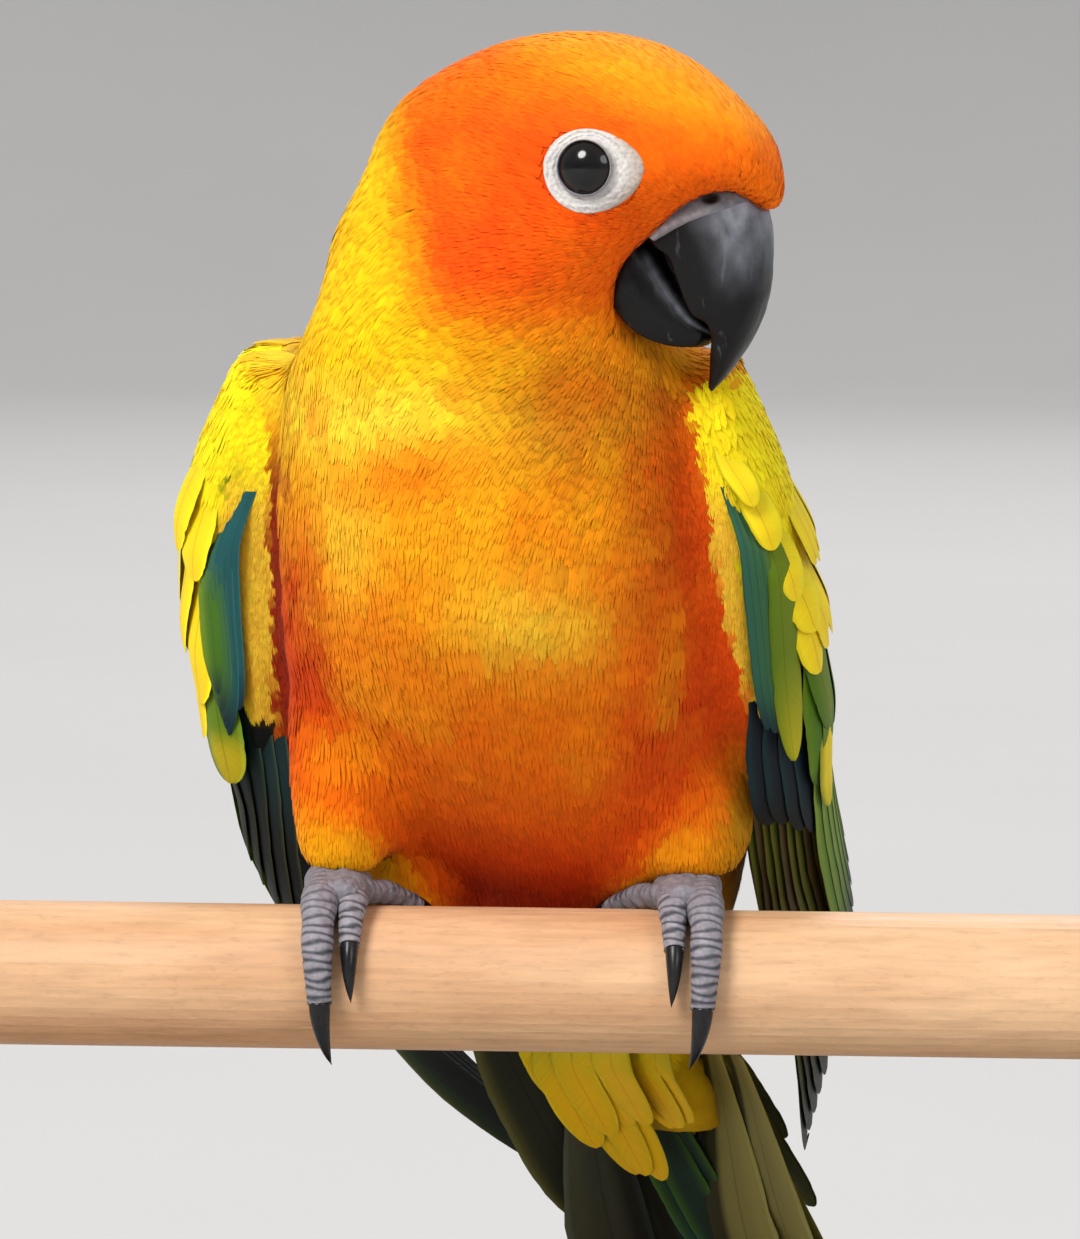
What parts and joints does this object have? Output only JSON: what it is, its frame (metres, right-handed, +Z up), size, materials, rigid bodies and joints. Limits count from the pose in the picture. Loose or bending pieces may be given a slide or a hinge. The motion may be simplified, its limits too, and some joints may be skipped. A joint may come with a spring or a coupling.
{
  "type": "sun conure on a perch",
  "caption": "Life-size still model of a golden-orange parrot perched on a cut length of round wood, head turned aside, held by a plain display stand.",
  "frame": {"origin": "middle of the underside of the display stand's base", "axes": "+Z up, the perch lies along X, the bird's breast faces -Y and its tail hangs toward +Y"},
  "size_m": [0.204, 0.18, 0.247],
  "materials": {
    "plumage_orange": "soft overlapping feathers, orange to golden yellow",
    "plumage_wing": "smooth feathers, yellow with green and blue-black quills",
    "plumage_tail": "smooth long feathers, olive with dark tips",
    "bill": "satin horn, slate black",
    "cere": "matt bare skin, pale grey",
    "eye": "wet gloss, near black",
    "eye_skin": "finely wrinkled bare skin, white",
    "foot_skin": "scaly skin, grey with darker bands",
    "claw": "satin horn, black",
    "perch_wood": "bare sanded wood, pale with fine grain",
    "stand_wood": "oiled wood, satin",
    "stand_metal": "brushed"
  },
  "bodies": {
    "root": {"torso": "plumage_orange", "neck": "plumage_orange", "head": "plumage_orange", "eye_left": "eye", "eye_right": "eye", "lid_left": "eye_skin", "lid_right": "eye_skin", "cere": "cere", "bill_upper": "bill", "bill_lower": "bill", "wing_right": "plumage_wing", "wing_left": "plumage_wing", "tail": "plumage_tail", "thigh_left": "plumage_orange", "thigh_right": "plumage_orange", "foot_left": "foot_skin", "foot_right": "foot_skin", "claw_left_1": "claw", "claw_left_2": "claw", "claw_left_3": "claw", "claw_left_4": "claw", "claw_right_1": "claw", "claw_right_2": "claw", "claw_right_3": "claw", "claw_right_4": "claw", "perch": "perch_wood", "stand_base": "stand_wood", "stand_rod_left": "stand_metal", "stand_rod_right": "stand_metal"}
  },
  "joints": []
}
